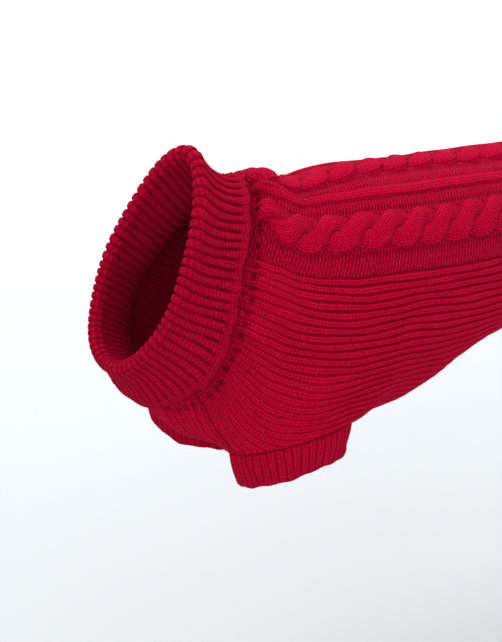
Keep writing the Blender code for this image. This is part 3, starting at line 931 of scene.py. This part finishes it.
# ---- tubes of rib
COLLAR_RIB_COLUMNS, COLLAR_COARSE = 10, (4, 5)
COLLAR_ROWS = (26, 9, 42)  # on the inner layer, over the fold, on the outer layer
COLLAR_CREST, COLLAR_GROOVE = 1.1, 2.3
COLLAR_DROOP = 5.0  # how much lower the edge hangs at COLLAR_HANGS
SELVEDGE_RISE = 0.2
BEHIND_SEAM = 0.012  # along the body, where the neck's direction is read


def ring_angles(ring, share):
    """Angles of places round a ring, each at its share of the way round from the spine."""
    angle = np.linspace(0, 2 * math.pi, RING_SAMPLES + 1)
    length = path_length(ring_points(ring, angle), 0)
    return np.interp(share * length[-1], length, angle)


def curve(a, b, leave, arrive, t):
    """A place on the smooth path from a to b."""
    reach = np.linalg.norm(b - a, axis=-1, keepdims=True)
    return ((2 * t**3 - 3 * t**2 + 1) * a + (t**3 - 2 * t**2 + t) * reach * leave
            + (3 * t**2 - 2 * t**3) * b + (t**3 - t**2) * reach * arrive)


def going_round(ring):
    return unit(np.roll(ring, -1, axis=0) - np.roll(ring, 1, axis=0))


def collar_middle(count):
    """The middle of the collar's cloth: up inside, over the fold and down to the free edge."""
    neck_ring = [float(c) for c in body_ring(0.0)]
    # the ribs slant: at the wearer's sides they reach the fold lower than the edge
    share = np.arange(count) / count
    slant = COLLAR_SLANT * np.sin(share * 2 * math.pi)
    neck_angle = ring_angles(neck_ring, share + 0.9 * slant)
    rim_angle = ring_angles(COLLAR_RIM, share + slant)
    edge_angle = ring_angles(COLLAR_EDGE, share)
    neck = body_points(0.0, neck_angle)
    rim = ring_points(COLLAR_RIM, rim_angle)
    edge = ring_points(COLLAR_EDGE, edge_angle)
    forward = unit(neck - body_points(BEHIND_SEAM, neck_angle))
    out = unit(np.cross(going_round(neck), -forward))
    start = neck + forward * NECK_GAP - out * WALL / 2
    rise = unit(rim - start)
    rim_out = unit(np.cross(going_round(rim), -rise))
    fold_in = rim - rise * COLLAR_FOLD_RADIUS - rim_out * COLLAR_FOLD_RADIUS

    inner_rows, fold_rows, outer_rows = COLLAR_ROWS
    rows = [curve(start, fold_in, forward, rise, t)
            for t in np.linspace(0, 1, inner_rows, endpoint=False)]
    for turn in np.linspace(0, math.pi, fold_rows, endpoint=False):
        rows.append(fold_in + COLLAR_FOLD_RADIUS * ((1 - math.cos(turn)) * rim_out
                                                    + math.sin(turn) * rise))
    fold_out = fold_in + 2 * COLLAR_FOLD_RADIUS * rim_out
    body_run = unit(body_points(0.06, edge_angle) - body_points(0.03, edge_angle))
    settle = unit(body_run * 0.8 + unit(edge - fold_out) * 0.6)
    nape = ((1 + np.cos(edge_angle)) / 2)[:, None]**2
    drop = -unit(rise + rim_out * NAPE_LEAN * nape)
    rows += [curve(fold_out, edge, drop, settle, t) for t in np.linspace(0, 1, outer_rows)]
    return np.array(rows)


def collar():
    count = COLLAR_RIBS * COLLAR_RIB_COLUMNS
    middle = collar_middle(count)
    # the face that shows: towards the neck on the inner layer, outside on the turned-down one
    shown = -outward(middle[::-1], closed=True)[::-1]
    length = path_length(middle, 0)
    to_edge = length[-1:] - length
    past_fold = length - length[COLLAR_ROWS[0] + COLLAR_ROWS[1]]
    f = np.arange(count) / COLLAR_RIB_COLUMNS
    around = f / COLLAR_RIBS * 2 * math.pi
    u = f[None, :] + 0.5
    u = u + 0.07 * np.sin(length / 13.0 + around[None, :] * 9.0) \
        + 0.05 * np.sin(length / 6.0 + around[None, :] * 23.0)
    crown = rib_profile(u, COLLAR_SHARE)
    selvedge = soft_step((to_edge - 2.8) / 1.6)
    two_wales = 1 - 0.14 * bell((u % 1.0) - 0.5, 0.09)
    # the ribs open out towards the edge and lie softer under the chin
    strength = 0.58 + 0.42 * soft_step(past_fold / 34.0)
    strength = strength * (1 - 0.55 * bell(around - math.pi, 0.9))[None, :]
    relief = (COLLAR_CREST - COLLAR_GROOVE * strength * (1 - crown * two_wales)) * selvedge \
        + SELVEDGE_RISE * (1 - selvedge)
    wave = (0.8 * np.sin(around * 7 + 0.6) + 0.5 * np.sin(around * 13 + 2.1))[None, :] \
        * soft_step(past_fold / 40.0)
    wave = wave + 0.5 * np.sin(around[None, :] * 5 + length / 16.0)
    # the free edge is not quite even, and hangs lowest below the wearer's cheeks
    drift = (0.5 * np.sin(around * 9 + 1.0) + 0.4 * np.sin(around * 21 + 0.3))[None, :] \
        * soft_step(1 - to_edge / 18.0)
    from_spine = np.degrees(np.minimum(around, 2 * math.pi - around))
    drift = drift + COLLAR_DROOP * bell(from_spine - COLLAR_HANGS, 26.0)[None, :] \
        * soft_step(1 - to_edge / 40.0)
    run = unit(np.gradient(middle, axis=0))
    moved = run * drift[..., None]
    fine = middle + shown * (WALL / 2 + relief + wave * 0.6)[..., None] + moved
    back = middle - shown * (WALL / 2 - wave * 0.6)[..., None] + moved
    roll = rolled_edge(fine[-1], back[-1], run[-1], 1.3, (30, 60, 90, 125))
    # painted shade in the rib grooves; the selvedge and its roll get a flat share
    lit_share = (1 - strength * (1 - crown)) * selvedge + 0.8 * (1 - selvedge)
    lit_share = np.concatenate([lit_share, np.full((len(roll), count), 0.7)])
    r_at = coarse_rows(len(middle), COLLAR_COARSE[0])
    c_at = np.arange(0, count, COLLAR_COARSE[1])
    piece = shell("collar_rib", np.concatenate([fine, roll]), back[np.ix_(r_at, c_at)],
                  (r_at, c_at), stitch_places(u, length, len(roll)), lit_share, wool_collar,
                  closed=True)
    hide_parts("collar")


def ribbed_band(name, node, material, rings_at, ribs, rib_columns, height,
                crown_rise, crown_share, curl, flip=False):
    """A band of rib between two rings, with its far edge free."""
    count = ribs * rib_columns
    steps = max(6, int(round(height / 0.9)))
    part = np.linspace(0, 1, steps + 1)
    grid = rings_at(part, count)
    normal = outward(grid, closed=True)
    if flip:
        normal = -normal
    f = np.arange(count) / rib_columns
    around = f / ribs * 2 * math.pi
    down = path_length(grid, 0)
    u = f[None, :] + 0.08 * np.sin(around * 6 + 1.0)[None, :] * down / height \
        + 0.06 * np.sin(around * 17 + down / 6.0)
    crown = rib_profile(u, crown_share)
    to_edge = down[-1:] - down
    seam = bell(down, 1.2)
    selvedge = soft_step((to_edge + 0.6) / 1.8)
    relief = ((-0.4 + crown_rise * crown) * (1 - seam) - SEAM_DIP * seam) * selvedge
    flare = curl * bell(to_edge, 3.5) * (1 + 0.6 * np.sin(around * 3 + 0.8)
                                         + 0.4 * np.sin(around * 8 + 2.0))[None, :]
    swell = 0.35 * np.sin(around * 5 + down / 9.0) * soft_step(down / 5.0)
    swell = swell + 0.9 * np.sin(math.pi * part)[:, None]  # the band puffs out a little
    drop = (0.5 * np.sin(around * 7 + 0.4) + 0.35 * np.sin(around * 15 + 1.7))[None, :] \
        * soft_step(down / height)
    run = unit(np.gradient(grid, axis=0))
    shape = grid + run * drop[..., None]
    outer = shape + normal * (relief + flare + swell)[..., None]
    inner = shape + normal * (flare + swell - WALL)[..., None]
    roll = rolled_edge(outer[-1], inner[-1], run[-1], 1.2, (35, 70, 105, 140))
    fine = np.concatenate([outer, roll])
    # painted shade in the rib grooves and the seam; the rolled edge a little darker
    lit_share = np.concatenate([crown * (1 - 0.6 * seam), np.repeat(crown[-1:], len(roll), 0) * 0.8])
    uv = stitch_places(u, down, len(roll))
    if flip:
        fine, inner, uv, lit_share = (a[:, ::-1] for a in (fine, inner, uv, lit_share))
    r_at = coarse_rows(steps + 1, 3)
    c_at = np.arange(0, count, rib_columns // 2)
    piece = shell(name, fine, inner[np.ix_(r_at, c_at)], (r_at, c_at), uv, lit_share, material,
                  closed=True)
    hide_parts(node)


def cuffs():
    for side_name, sleeve in SLEEVES.items():
        side = sleeve["side"]

        def rings_at(part, count, sleeve=sleeve, side=side):
            turn = np.linspace(0, 2 * math.pi, count, endpoint=False)
            seam = sleeve_ring(sleeve["seam"], side, turn)
            x, y, z, radius_x, *rest = sleeve["edge"]
            edge = sleeve_ring((x + CUFF_TUCK, y, z, radius_x - CUFF_TUCK, *rest), side, turn)
            seam = seam + unit(edge - seam) * CUFF_GAP
            return seam[None] + (edge - seam)[None] * part[:, None, None]

        ribbed_band("cuff_rib_" + side_name, "cuff_" + side_name, wool_cuff,
                    rings_at, CUFF_RIBS, rib_columns=8, height=22.0,
                    crown_rise=0.7, crown_share=0.9, curl=0.9, flip=side > 0)


def hem():
    def rings_at(part, count):
        rows = []
        for along in part:
            ring = [float(smooth(HEM_RINGS, c, along)) for c in range(1, len(RING_COLUMNS))]
            rows.append(ring_points(ring, ring_angles(ring, np.arange(count) / count)))
        return np.array(rows)

    ribbed_band("hem_rib_band", "hem_band", wool_hem, rings_at,
                HEM_RIBS, rib_columns=10, height=34.0, crown_rise=1.6, crown_share=0.76,
                curl=0.4)


body()
collar()
cuffs()
hem()


# ---- the studio
FLOOR_SIZE, FLOOR_Z = 14.0, -0.34
FLOOR_PAINT = {"Base Color": (0.52, 0.55, 0.565, 1.0), "Roughness": 0.7}
SKY = {"Color": (0.98, 0.99, 1.0, 1.0), "Strength": 1.15}
# name, place, aim, diameter, watts
LAMPS = (
    ("top_softbox", (0.5, 0.9, 1.6), (0.15, 0.0, -0.05), 1.4, 19.0),
    ("front_softbox", (-1.6, -1.5, 0.9), (0.0, 0.0, -0.08), 1.4, 9.0),
    ("floor_wash", (1.2, 2.6, 1.8), (1.6, 3.2, -0.34), 2.2, 60.0),
)
AZIMUTH, ELEVATION = math.radians(-38), math.radians(22)
DISTANCE = 1.08
AIM = Vector((-0.0295, -0.029, -0.0731))
LENS, SENSOR = 106.5, 36.0


def studio():
    mesh = bpy.data.meshes.new("floor")
    mesh.from_pydata([(x * FLOOR_SIZE, y * FLOOR_SIZE, FLOOR_Z)
                      for x, y in ((-1, -1), (1, -1), (1, 1), (-1, 1))], [], [(0, 1, 2, 3)])
    floor = placed("floor", mesh)
    n = Nodes("pale_floor")
    set_sockets(n.shader, FLOOR_PAINT)
    mesh.materials.append(n.made)

    world = bpy.data.worlds.new("studio")
    world.use_nodes = True
    set_sockets(world.node_tree.nodes["Background"], SKY)
    bpy.context.scene.world = world

    for name, place, aim, diameter, watts in LAMPS:
        light = bpy.data.lights.new(name, "AREA")
        light.shape = "DISK"
        light.size = diameter
        light.energy = watts
        lamp = placed(name, light)
        lamp.location = place
        lamp.rotation_euler = (Vector(aim) - Vector(place)).to_track_quat("-Z", "Y").to_euler()


studio()
bpy.context.scene.view_settings.view_transform = "Standard"
camera = placed("camera", bpy.data.cameras.new("camera"))
camera.data.lens = LENS
camera.data.sensor_width = SENSOR
camera.data.sensor_fit = "AUTO"
away = Vector((math.sin(AZIMUTH) * math.cos(ELEVATION), -math.cos(AZIMUTH) * math.cos(ELEVATION),
               math.sin(ELEVATION)))
camera.location = AIM + away * DISTANCE
camera.rotation_euler = (-away).to_track_quat("-Z", "Y").to_euler()
bpy.context.scene.camera = camera
